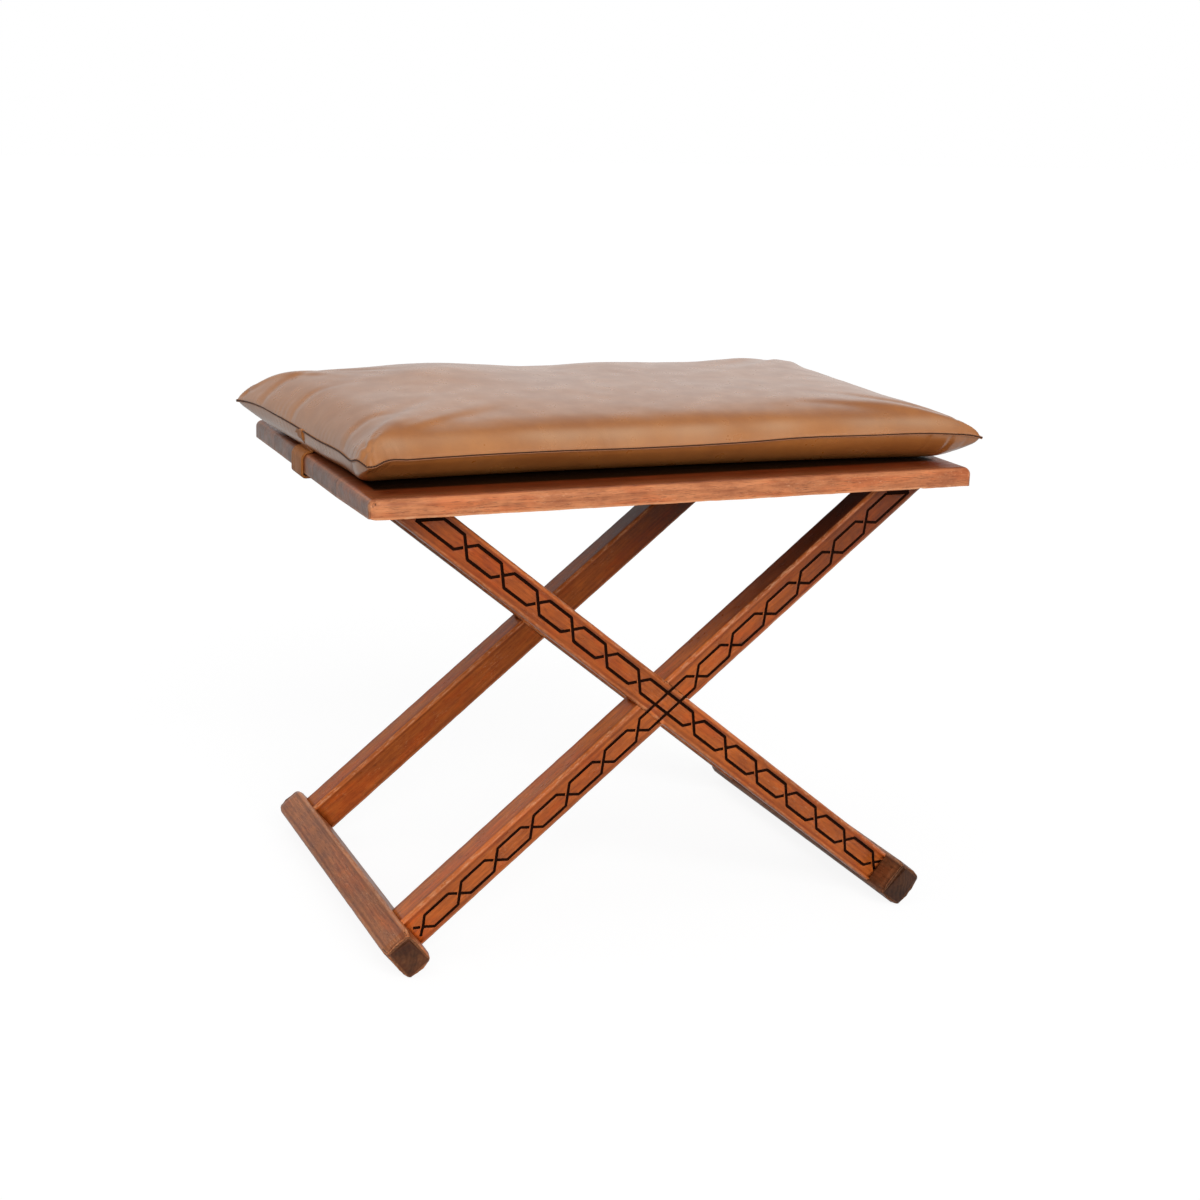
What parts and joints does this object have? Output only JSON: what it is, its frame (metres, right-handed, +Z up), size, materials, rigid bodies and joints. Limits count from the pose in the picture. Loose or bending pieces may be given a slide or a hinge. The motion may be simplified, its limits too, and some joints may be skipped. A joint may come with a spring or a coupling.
{
  "type": "x-frame stool",
  "caption": "Backless stool with a flat wooden seat board on crossed half-lapped legs with foot bars, and a tan leather cushion strapped round the board's ends.",
  "frame": {"origin": "on the floor, midway between the foot bars and between front and rear", "axes": "+X along the seat to the right as seen from the front, -Y to the front, +Z up"},
  "size_m": [0.624, 0.402, 0.507],
  "materials": {
    "board_wood": "satin",
    "frame_wood": "satin",
    "dowel_wood": "matte",
    "cushion_leather": "satin",
    "strap_leather": "satin",
    "pad_filling": "matte",
    "stud_brass": "satin"
  },
  "bodies": {
    "root": {"seat_stave_front": "board_wood", "seat_stave_front_middle": "board_wood", "seat_stave_middle": "board_wood", "seat_stave_rear_middle": "board_wood", "seat_stave_rear": "board_wood", "front_leg_left_foot": "frame_wood", "front_leg_right_foot": "frame_wood", "rear_leg_left_foot": "frame_wood", "rear_leg_right_foot": "frame_wood", "left_foot_bar": "frame_wood", "right_foot_bar": "frame_wood", "foot_dowels": "dowel_wood", "top_dowels": "dowel_wood", "cushion_top_panel": "cushion_leather", "cushion_bottom_panel": "cushion_leather", "left_strap": "strap_leather", "right_strap": "strap_leather", "cushion_pad": "pad_filling", "snap_caps": "stud_brass", "snap_sockets": "stud_brass", "snap_studs": "stud_brass"}
  },
  "joints": []
}
